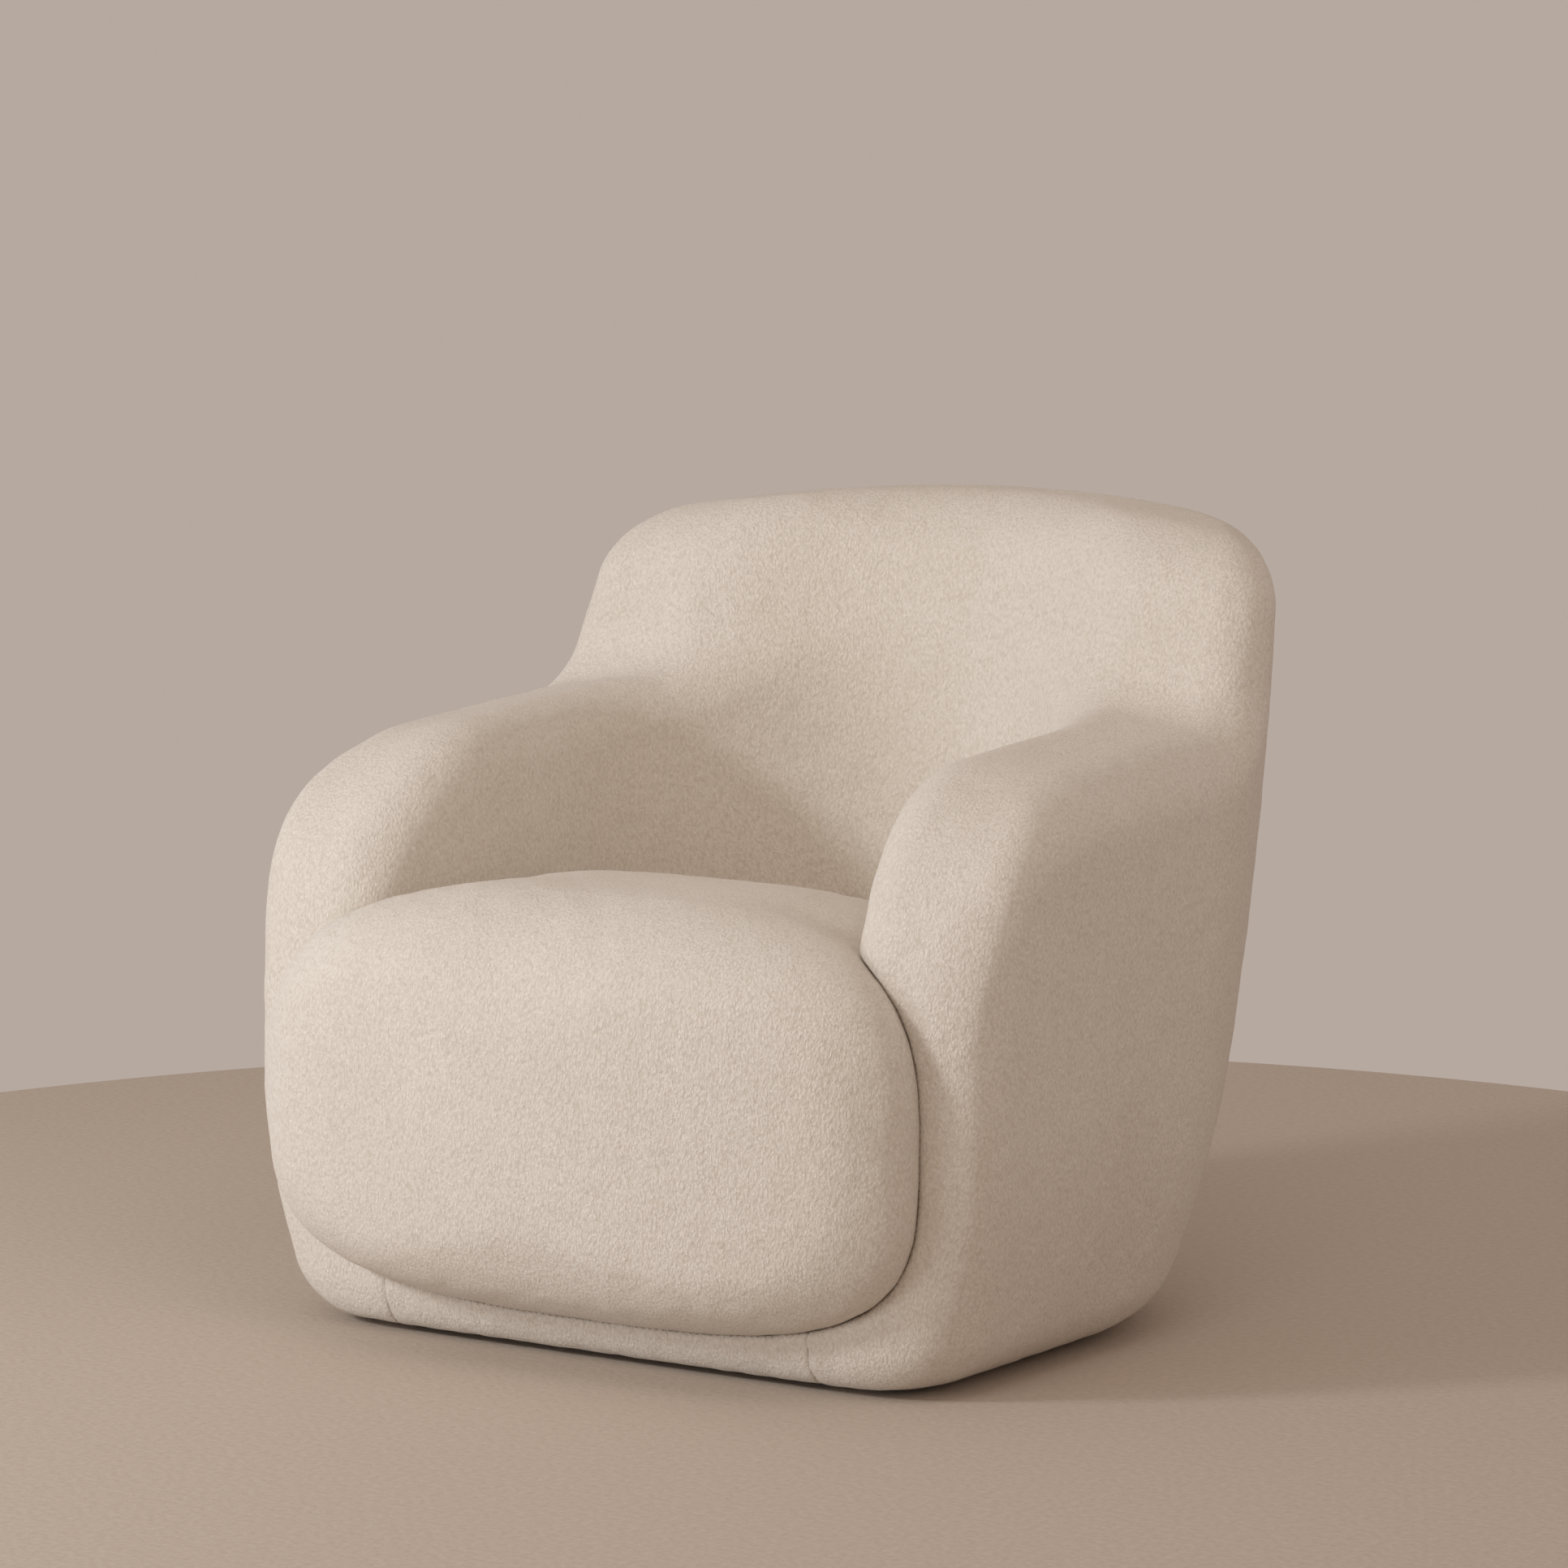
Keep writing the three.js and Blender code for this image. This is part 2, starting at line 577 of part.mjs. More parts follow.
/** Sinuous spring: a wire that swings from side to side on its way from front to rear. */
class SinuousPath extends THREE.Curve {
  constructor(x) {
    super();
    this.x = x;
  }

  getPoint(t, target = new THREE.Vector3()) {
    const toEnd = Math.min(t, 1 - t) * (SPRING_REAR - SPRING_FRONT);
    const ease = clamp((toEnd - SPRING.straightEnd) / SPRING.swing, 0, 1);
    const swing = SPRING.swing * ease * Math.sin(Math.PI * SPRING.bends * t);
    return target.set(this.x + swing, mix(SPRING_FRONT, SPRING_REAR, t), SPRING_Z);
  }
}

function spring(x) {
  const section = new THREE.Shape();
  section.absarc(0, 0, SPRING.wire, 0, 2 * Math.PI);
  const extrudePath = new SinuousPath(x);
  const settings = { steps: SPRING.bends * 4, extrudePath, curveSegments: 3, bevelEnabled: false };
  return new THREE.ExtrudeGeometry(section, settings);
}

/** Bent steel clip that holds a spring end on its rail: a flat strap with a hump over the wire. */
function springClip(x, y) {
  const reachOver = SPRING.wire + 0.5;
  const sheet = 1.2;
  const foot = 7;
  const outline = new THREE.Shape();
  outline.moveTo(-foot, 0);
  outline.lineTo(-reachOver, 0);
  outline.absarc(0, SPRING.wire, reachOver, Math.PI, 0, true);
  outline.lineTo(reachOver, 0);
  outline.lineTo(foot, 0);
  outline.lineTo(foot, sheet);
  outline.lineTo(reachOver + sheet, sheet);
  outline.absarc(0, SPRING.wire, reachOver + sheet, 0, Math.PI);
  outline.lineTo(-reachOver - sheet, sheet);
  outline.lineTo(-foot, sheet);
  const clip = new THREE.ExtrudeGeometry(outline, { depth: 14, bevelEnabled: false, curveSegments: 3 });
  clip.rotateX(Math.PI / 2);
  clip.translate(x, y + 7, FRAME_TOP + JOINT);
  return clip;
}

/** Elastic strap across the front edges of the ribs. */
function backStrap(z) {
  const first = RIB.centres[0] - RIB.thick / 2;
  const strap = new THREE.BoxGeometry(-2 * first, STRAP.thick, STRAP.width);
  const slope = (RIB.topFrontY - RIB.kneeY) / (RIB.topZ - RIB.kneeZ);
  strap.rotateX(-Math.atan(slope));
  strap.translate(0, RIB.kneeY + slope * (z - RIB.kneeZ) - STRAP.thick / 2 - STRAP.standOff, z);
  return strap;
}

// ---------------------------------------------------------------- assembly
function addUpholstery() {
  add('shell_cover', shellCover(), BOUCLE);
  add('shell_foam', shellFoam(), FOAM);
  add('seat_pod_cover', podCover(), BOUCLE);
  add('seat_foam', seatFoam(), FOAM);
  add('front_foam', frontFoam(), FOAM);
  add('plinth_band', plinthBand(), BOUCLE);
}

function addBase() {
  add('base_board', raised(baseOutline(0, SCREW.hole), BOARD.bottomZ, BOARD.bottomZ + BOARD.thick, 6), PLY);
  add('dust_cover', raised(baseOutline(20, SCREW.hole), BOARD.bottomZ - 1.4, BOARD.bottomZ - 0.4, 6), BLACK_CLOTH);
  GLIDE.places.forEach(([x, y], index) => {
    add(`glide_${index + 1}`, glide(), BLACK_PLASTIC).position.set(x, y, 0);
    add(`glide_screw_${index + 1}`, glideScrew(), STEEL).position.set(x, y, 0);
  });
}

function addSeatFrame() {
  const panelBack = FRONT_PANEL.frontY + FRONT_PANEL.thick;
  const railBottom = FRAME_TOP - RAIL.height;
  const half = FRONT_PANEL.halfWidth;
  add('front_board', block([-half, FRONT_PANEL.frontY, BOARD_TOP], [half, panelBack, FRAME_TOP]), PLY);
  const rearY = REAR_RAIL.frontY;
  const rearHalf = REAR_RAIL.halfWidth;
  add('rear_rail', block([-rearHalf, rearY, railBottom], [rearHalf, rearY + RAIL.thick, FRAME_TOP]), PINE);
  add('centre_stretcher', block([-15, panelBack + JOINT, 195], [15, rearY - JOINT, 255]), PINE);
  for (const [name, side] of [['left', 1], ['right', -1]]) {
    const inner = SIDE_RAIL_OUTER - RAIL.thick;
    const rail = sideBlock(side, inner, SIDE_RAIL_OUTER, panelBack + JOINT, rearY - JOINT, railBottom, FRAME_TOP);
    add(`side_rail_${name}`, rail, PINE);
    const cornerX = side * (inner - JOINT);
    add(`corner_block_front_${name}`, cornerBlock(cornerX, panelBack + JOINT, -side, 1), PINE);
    add(`corner_block_rear_${name}`, cornerBlock(cornerX, rearY - JOINT, -side, -1), PINE);
  }
}

function addArmsAndBack() {
  for (const [name, side] of [['left', 1], ['right', -1]]) {
    const postBack = POST.frontY + POST.depth;
    const post = sideBlock(side, POST.innerX, POST.innerX + POST.width, POST.frontY, postBack, BOARD_TOP, POST.topZ);
    add(`arm_panel_${name}`, armPanel(side), PLY);
    add(`arm_post_${name}`, post, PINE);
    const low = PANEL.topZ + JOINT;
    const outer = POST.innerX + ARM_RAIL.width;
    const rail = sideBlock(side, POST.innerX, outer, ARM_RAIL.frontY, ARM_RAIL.backY, low, low + ARM_RAIL.thick);
    add(`arm_rail_${name}`, rail, PINE);
  }
  RIB.centres.forEach((x, index) => add(`back_rib_${index + 1}`, rib(x), PLY));
  add('back_top_rail', topRail(), PINE);
}

function addSprings() {
  SPRING.centres.forEach((x, index) => {
    add(`seat_spring_${index + 1}`, spring(x), STEEL);
    add(`spring_clip_front_${index + 1}`, springClip(x, SPRING_FRONT + 1), STEEL);
    add(`spring_clip_rear_${index + 1}`, springClip(x, SPRING_REAR - 1), STEEL);
  });
  STRAP.heights.forEach((z, index) => add(`back_strap_${index + 1}`, backStrap(z), WEBBING));
}

addUpholstery();
addBase();
addSeatFrame();
addArmsAndBack();
addSprings();

// The origin is on the ground under the middle of the chair.
const box = new THREE.Box3().setFromObject(chair);
const middle = box.getCenter(new THREE.Vector3());
chair.position.set(-middle.x, -middle.y, -box.min.z);

export default chair;
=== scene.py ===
"""Tub lounge armchair in ivory bouclé: the looks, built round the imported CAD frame.

Metres, +Z up, front towards -Y.
The soft pieces are surfaces of one signed-distance form (negative inside), meshed on a fine grid.
The timber, springs, screws and glides are the CAD nodes themselves, with procedural materials.
"""

import math

import bmesh
import bpy
import numpy as np
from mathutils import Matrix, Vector


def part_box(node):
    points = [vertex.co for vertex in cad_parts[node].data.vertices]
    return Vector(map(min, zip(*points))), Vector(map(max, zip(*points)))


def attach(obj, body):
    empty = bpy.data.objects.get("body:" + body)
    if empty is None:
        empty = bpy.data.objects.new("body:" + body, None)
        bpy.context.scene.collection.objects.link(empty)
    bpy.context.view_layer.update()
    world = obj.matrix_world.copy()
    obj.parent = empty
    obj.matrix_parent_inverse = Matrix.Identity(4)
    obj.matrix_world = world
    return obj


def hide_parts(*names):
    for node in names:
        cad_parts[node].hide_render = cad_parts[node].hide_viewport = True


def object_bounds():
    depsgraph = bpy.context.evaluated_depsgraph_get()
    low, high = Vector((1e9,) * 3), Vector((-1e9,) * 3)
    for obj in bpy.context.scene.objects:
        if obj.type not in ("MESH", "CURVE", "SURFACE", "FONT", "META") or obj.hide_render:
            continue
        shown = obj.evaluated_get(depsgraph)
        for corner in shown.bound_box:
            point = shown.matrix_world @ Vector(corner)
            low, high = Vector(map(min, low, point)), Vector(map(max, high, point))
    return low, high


bpy.ops.wm.read_factory_settings(use_empty=True)
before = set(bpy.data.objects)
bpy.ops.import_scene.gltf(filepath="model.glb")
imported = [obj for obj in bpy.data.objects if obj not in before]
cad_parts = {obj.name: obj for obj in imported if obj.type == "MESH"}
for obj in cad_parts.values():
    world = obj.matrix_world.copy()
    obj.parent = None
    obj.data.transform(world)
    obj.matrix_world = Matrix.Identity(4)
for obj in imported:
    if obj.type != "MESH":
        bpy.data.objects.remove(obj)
cad_low, cad_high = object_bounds()
random = np.random.default_rng(7)

# ---------------------------------------------------------------- driving dimensions of the upholstery
HALF_WIDTH = cad_high.x - 0.0051
BACK_TOP = cad_high.z
DECK_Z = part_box("seat_foam")[0].z
BOTTOM_Z = 0.006                     # underside of the covers, just clear of the floor
WIDEST_Y = -0.018                    # where the chair is widest
FRONT_Y = -0.332                     # front of the arms at deck height
ARM_TOP = 0.561
WELL_HALF_WIDTH = 0.241
WELL_BACK_Y = 0.2377
POD_HALF_WIDTH = 0.397
POD_CENTRE_Z = 0.2257
POD_FRONT_Y = cad_low.y - 0.0007
POD_REAR_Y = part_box("seat_pod_cover")[1].y - 0.0003
SEAM_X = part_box("plinth_band")[1].x + 0.0004
COVER = 0.0044                       # cloth and wadding, with the gap behind them


# ---------------------------------------------------------------- signed-distance helpers
def smooth(t):
    s = np.clip(t, 0, 1)
    return s * s * (3 - 2 * s)


def mix(a, b, t):
    return a + (b - a) * t


def round_both(a, b, radius):
    """Inside both forms; the edge where they meet is rounded."""
    beyond = np.hypot(np.maximum(radius + a, 0), np.maximum(radius + b, 0))
    return np.minimum(-radius, np.maximum(a, b)) + beyond


def round_either(a, b, radius):
    """Inside either form; the corner where they meet is filled."""
    within = np.hypot(np.maximum(radius - a, 0), np.maximum(radius - b, 0))
    return np.maximum(radius, np.minimum(a, b)) - within


# ---------------------------------------------------------------- form of the chair
def half_width_at(z):
    flare_height = 0.248
    base_inset = 0.041
    side_lean = 0.025
    low = np.clip(1 - (z - BOTTOM_Z) / flare_height, 0, 1.2)
    return HALF_WIDTH - base_inset * low**2 + side_lean * (z - DECK_Z)


def back_y_at(z):
    top_y = 0.4295
    rake = 0.154
    rake_height = 0.782
    low = np.clip(1 - (z - BOTTOM_Z) / rake_height, 0, 1.1)
    return top_y - rake * low**2


def front_y_at(z):
    lean = 0.064
    tuck = 0.0066
    tuck_height = 0.15
    low = np.clip(1 - (z - BOTTOM_Z) / tuck_height, 0, 1.2)
    return FRONT_Y + lean * (z - DECK_Z) + tuck * low**2


def plan(x, y, z):
    """Plan of the chair at any height."""
    side_bow, back_bow, front_bow = 0.0075, 0.066, 0.011
    back_corner, front_corner, front_corner_base = 0.242, 0.071, 0.103
    half_length = 0.4
    low_height = 0.22
    across = x / HALF_WIDTH
    along = (y - WIDEST_Y) / half_length
    side = np.abs(x) - half_width_at(z) + side_bow * along**2
    back = y - back_y_at(z) + back_bow * across**2
    front = front_y_at(z) - front_bow * (1 - across**2) - y
    low = 1 - smooth((z - BOTTOM_Z) / low_height)
    return round_both(round_both(side, back, back_corner), front, mix(front_corner, front_corner_base, low))


def outside(x, y, z):
    """Outside of the chair, rounded under at the floor."""
    bottom_round = 0.049
    return round_both(plan(x, y, z), BOTTOM_Z - z, bottom_round)


def side_profile(x, y, z):
    """Side view: low arms with a round nose, rising through the wings to the back."""
    arm_rise, arm_fall, arm_nose = 0.061, 0.135, 0.224
    wing_y, wing_z, wing_rake, wing_round, wing_join = 0.158, 0.56, 0.407, 0.056, 0.033
    back_drop, back_drop_x = 0.0394, 0.4
    crest_x = 0.37
    nose_ahead = 0.004
    arm_top = ARM_TOP + arm_rise * y - arm_fall * (np.abs(x) - crest_x)
    arm = round_both(FRONT_Y - nose_ahead - y, z - arm_top, arm_nose)
    rake = (wing_y + (z - wing_z) * wing_rake - y) / math.hypot(1, wing_rake)
    crown = z - BACK_TOP + back_drop * (x / back_drop_x) ** 2
    return round_either(arm, round_both(rake, crown, wing_round), wing_join)


def well(x, y, z):
    """The open space that the sitter's body fills."""
    corner, bottom_z, bottom_round = 0.222, 0.315, 0.06
    bow, bow_x, lean, lean_from_z = 0.02, 0.3, 0.149, 0.42
    flare, flare_start_y, flare_length = 0.0277, -0.155, 0.2
    side = np.abs(x) - WELL_HALF_WIDTH - flare * smooth((flare_start_y - y) / flare_length)
    back = y - WELL_BACK_Y - lean * (z - lean_from_z) + bow * (x / bow_x) ** 2
    return round_both(round_both(side, back, corner), bottom_z - z, bottom_round)


def pod(x, y, z):
    """The seat and its bulging front, one big pillow with a squared oval section."""
    rise, drop = 0.2106, 0.1863
    rear_fall, fall_start_y, fall_length = 0.0748, -0.225, 0.43
    tucked_by, tuck_start_y, tuck_length = 0.111, -0.375, 0.15
    side_sweep, top_sweep, power = 0.056, 0.011, 3.4
    front_round, rear_round, rear_rake = 0.11, 0.06, 0.3
    axis_reach, axis_ring = 0.001, 0.004
    height = np.where(z > POD_CENTRE_Z, rise - rear_fall * smooth((y - fall_start_y) / fall_length), drop)
    up = (z - POD_CENTRE_Z) / height
    across = x / (POD_HALF_WIDTH - tucked_by * smooth((y - tuck_start_y) / tuck_length))
    ring = (np.abs(across) ** power + np.abs(up) ** power + 1e-9) ** (1 / power)
    section = (ring - 1) * (np.hypot(x, z - POD_CENTRE_Z) + axis_reach) / (ring + axis_ring)
    front = POD_FRONT_Y - y + side_sweep * across**2 + top_sweep * up**2
    rear = y - POD_REAR_Y - rear_rake * np.minimum(0, z - DECK_Z)
    return round_both(round_both(section, front, front_round), rear, rear_round)


def upholstered_wall(x, y, z):
    """Back, arms and noses, before the pod is set into them."""
    arm_rim, back_rim = 0.056, 0.078
    nose_edge, arm_edge, wing_edge = 0.035, 0.058, 0.072
    arm_from_z, arm_from_y, arm_change = 0.42, -0.25, 0.1
    wing_from_z, wing_change = 0.5, 0.12
    back_y, back_change = 0.4, 0.2
    rim_from_z, rim_change = 0.54, 0.14
    on_arm = smooth((z - arm_from_z) / arm_change) * smooth((y - arm_from_y) / arm_change)
    on_wing = smooth((z - wing_from_z) / wing_change)
    before_back = smooth((back_y - y) / back_change)
    edge = mix(nose_edge, mix(arm_edge, wing_edge, on_wing), on_arm * before_back)
    edged = round_both(outside(x, y, z), side_profile(x, y, z), edge)
    rim = mix(arm_rim, back_rim, smooth((z - rim_from_z) / rim_change))
    return round_both(edged, -well(x, y, z), rim)


def skin(x, y, z):
    """The wall where it rolls in to the seam with the pod."""
    seam_round = 0.01
    seat_line = -0.001
    return round_both(upholstered_wall(x, y, z), seat_line - pod(x, y, z), seam_round)


def hidden_core(x, y, z):
    """Negative in the space under the deck, where the frame stands: the cover turns in under it."""
    hem, wall, hem_top = 0.055, 0.028, 0.0225
    below_deck = 0.02
    inset = np.where(z < hem_top, hem, wall)
    outer = np.maximum(plan(x, y, z), side_profile(x, y, z))
    return np.maximum(outer + inset, z - DECK_Z + below_deck)


def shell_form(x, y, z):
    """The wall with its foot; in front it stops at the joins with the plinth band."""
    tucked_in, join_round = 0.002, 0.004
    joins_end_y, join_splay = -0.15, 3
    join = SEAM_X - tucked_in - np.abs(x) - join_splay * np.maximum(0, y - joins_end_y)
    joined = round_both(skin(x, y, z), join, join_round)
    return np.maximum(joined, -hidden_core(x, y, z))


def band_form(x, y, z):
    """The plinth band: the foot of the front between the two joins."""
    end_round, board_gap = 0.003, 0.0005
    back_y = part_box("front_board")[0].y - board_gap
    ends = np.abs(x) - SEAM_X
    return np.maximum(round_both(skin(x, y, z), ends, end_round), y - back_y)


def shell_foam_form(x, y, z):
    """Foam inside the wall; room is the space that it leaves for the timber frame."""
    padding, room_round, beyond = 0.05, 0.015, 0.02
    inner = padding - well(x, y, z)
    top = side_profile(x, y, z) + padding
    front = front_y_at(z) + padding - y
    room = np.maximum(round_both(inner, top, room_round), np.maximum(outside(x, y, z) - beyond, front))
    padded = np.maximum(upholstered_wall(x, y, z) + COVER, -room)
    clear_of_pod = 2 * COVER - pod(x, y, z)
    return np.maximum(np.maximum(padded, clear_of_pod), DECK_Z - z)


def seat_foam_form(x, y, z):
    return np.maximum(pod(x, y, z) + 2 * COVER, DECK_Z - z)


def front_foam_form(x, y, z):
    low_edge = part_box("front_foam")[1]
    return np.maximum(pod(x, y, z) + 2 * COVER, np.maximum(z - low_edge.z, y - low_edge.y))


# ---------------------------------------------------------------- meshing
def gradient(form, points, reach=0.0008):
    """Slope of the form at each point."""
    slopes = []
    for axis in range(3):
        nudge = np.zeros(3)
        nudge[axis] = reach
        ahead = form(*(points + nudge).T)
        behind = form(*(points - nudge).T)
        slopes.append((ahead - behind) / (2 * reach))
    return np.stack(slopes, axis=1)


def settled(form, points, step, turns=4):
    """The points moved onto the surface of the form."""
    for _ in range(turns):
        slope = gradient(form, points)
        pace = form(*points.T) / np.maximum((slope**2).sum(axis=1), 0.25)
        points = points - slope * np.clip(pace, -step / 2, step / 2)[:, None]
    return points


def surface_net(form, low, high, step):
    """Corners and faces of the closed surface of a form, on a grid with that step."""
    axes = [np.arange(a, b + step, step) for a, b in zip(low, high)]
    values = form(*np.meshgrid(*axes, indexing="ij"))
    cells = tuple(n - 1 for n in values.shape)
    total = np.zeros(cells + (3,))
    count = np.zeros(cells)
    for axis in range(3):
        for corner in ((0, 0), (0, 1), (1, 0), (1, 1)):
            start = np.insert(corner, axis, 0)
            end = np.insert(corner, axis, 1)
            a = values[tuple(slice(s, s + n) for s, n in zip(start, cells))]
            b = values[tuple(slice(s, s + n) for s, n in zip(end, cells))]
            crossed = (a < 0) != (b < 0)
            along = np.where(crossed, a / np.where(crossed, a - b, 1), 0)
            for other in range(3):
                total[..., other] += along if other == axis else crossed * start[other]
            count += crossed
    used = count > 0
    number = np.full(cells, -1)
    number[used] = np.arange(used.sum())
    places = np.argwhere(used) + total[used] / count[used][:, None]
    points = np.array([a[0] for a in axes]) + places * step
    return settled(form, points, step), net_faces(values, number)


def net_faces(values, number):
    """One face for each grid edge that the surface crosses, facing outwards."""
    faces = []
    for axis in range(3):
        second, third = (axis + 1) % 3, (axis + 2) % 3
        a = np.moveaxis(values, (axis, second, third), (0, 1, 2))
        cell = np.moveaxis(number, (axis, second, third), (0, 1, 2))
        near, far = a[:-1, 1:-1, 1:-1], a[1:, 1:-1, 1:-1]
        around = [cell[:, :-1, :-1], cell[:, 1:, :-1], cell[:, 1:, 1:], cell[:, :-1, 1:]]
        leaving, entering = (near < 0) & (far >= 0), (near >= 0) & (far < 0)
        for crossed, order in ((leaving, around), (entering, around[::-1])):
            faces.append(np.stack([corner[crossed] for corner in order], axis=1))
    return np.concatenate(faces)


def linked(name, mesh, material):
    """A new object with that mesh and material."""
    mesh.materials.append(material)
    piece = bpy.data.objects.new(name, mesh)
    bpy.context.scene.collection.objects.link(piece)
    return piece


def shade_smooth(mesh):
    mesh.polygons.foreach_set("use_smooth", [True] * len(mesh.polygons))


def mesh_piece(name, points, faces, material):
    """A shown piece from points and faces, shaded smooth."""
    mesh = bpy.data.meshes.new(name)
    mesh.from_pydata(np.asarray(points, dtype=float).tolist(), [], [tuple(map(int, face)) for face in faces])
    shade_smooth(mesh)
    return linked(name, mesh, material)


def positions(piece):
    flat = np.empty(3 * len(piece.data.vertices))
    piece.data.vertices.foreach_get("co", flat)
    return flat.reshape(-1, 3)


def place(piece, points):
    piece.data.vertices.foreach_set("co", points.ravel())
    piece.data.update()


def normals(piece):
    flat = np.empty(3 * len(piece.data.vertices))
    piece.data.vertices.foreach_get("normal", flat)
    return flat.reshape(-1, 3)


# ---------------------------------------------------------------- cloth surface
WAVES = 70
WAVE_LENGTHS = (0.016, 0.06)
SOFTNESS = 0.00022


def hand_of_cloth(points):
    """Height of the slight, even unevenness of cloth over wadding."""
    lengths = random.uniform(*WAVE_LENGTHS, WAVES)
    headings = random.normal(size=(WAVES, 3))
    headings *= (2 * math.pi / lengths / np.linalg.norm(headings, axis=1))[:, None]
    phases = random.uniform(0, 2 * math.pi, WAVES)
    height = np.zeros(len(points))
    for heading, phase in zip(headings, phases):
        height += np.sin(points @ heading + phase)
    return height * SOFTNESS / math.sqrt(WAVES / 2)


def soften(piece):
    points = positions(piece)
    place(piece, points + normals(piece) * hand_of_cloth(points)[:, None])


def puffed(piece, held, pressure=4.0, cap=0.004, last_frame=20):
    """Cloth with air pressure inside: held points stay, and the rest crown outwards by up to the cap."""
    scene = bpy.context.scene
    start = positions(piece)
    group = piece.vertex_groups.new(name="held")
    group.add(np.flatnonzero(held).tolist(), 1.0, "REPLACE")
    cloth = piece.modifiers.new("air", "CLOTH")
    cloth.settings.quality = 5
    cloth.settings.use_pressure = True
    cloth.settings.uniform_pressure_force = pressure
    cloth.settings.vertex_group_mass = group.name
    cloth.settings.effector_weights.gravity = 0
    cloth.point_cache.frame_start = 1
    cloth.point_cache.frame_end = last_frame
    for number in range(1, last_frame + 1):
        scene.frame_set(number)
    moved = piece.evaluated_get(bpy.context.evaluated_depsgraph_get())
    end = positions(moved)
    piece.modifiers.remove(cloth)
    piece.vertex_groups.remove(group)
    scene.frame_set(1)
    outward = normals(piece)
    swell = np.clip(((end - start) * outward).sum(axis=1), 0, cap)
    place(piece, start + outward * spread(piece, swell)[:, None])


def spread(piece, values, turns=25):
    """Values at the points, evened out along the mesh's edges."""
    edges = np.empty(2 * len(piece.data.edges), dtype=int)
    piece.data.edges.foreach_get("vertices", edges)
    first, second = edges.reshape(-1, 2).T
    count = np.bincount(edges, minlength=len(values))
    for _ in range(turns):
        near = np.bincount(first, values[second], len(values))
        near += np.bincount(second, values[first], len(values))
        values = (values + near / count) / 2
    return values


def applied(piece):
    """The piece's modifiers made part of its mesh."""
    shaped = piece.evaluated_get(bpy.context.evaluated_depsgraph_get())
    mesh = bpy.data.meshes.new_from_object(shaped)
    piece.modifiers.clear()
    piece.data = mesh
    shade_smooth(mesh)
    return piece


# ---------------------------------------------------------------- materials
def colour(red, green, blue):
    """A colour given as 0 to 255 screen values, as Blender's linear colour."""
    def linear(value):
        share = value / 255
        return share / 12.92 if share <= 0.04045 else ((share + 0.055) / 1.055) ** 2.4

    return (linear(red), linear(green), linear(blue), 1.0)


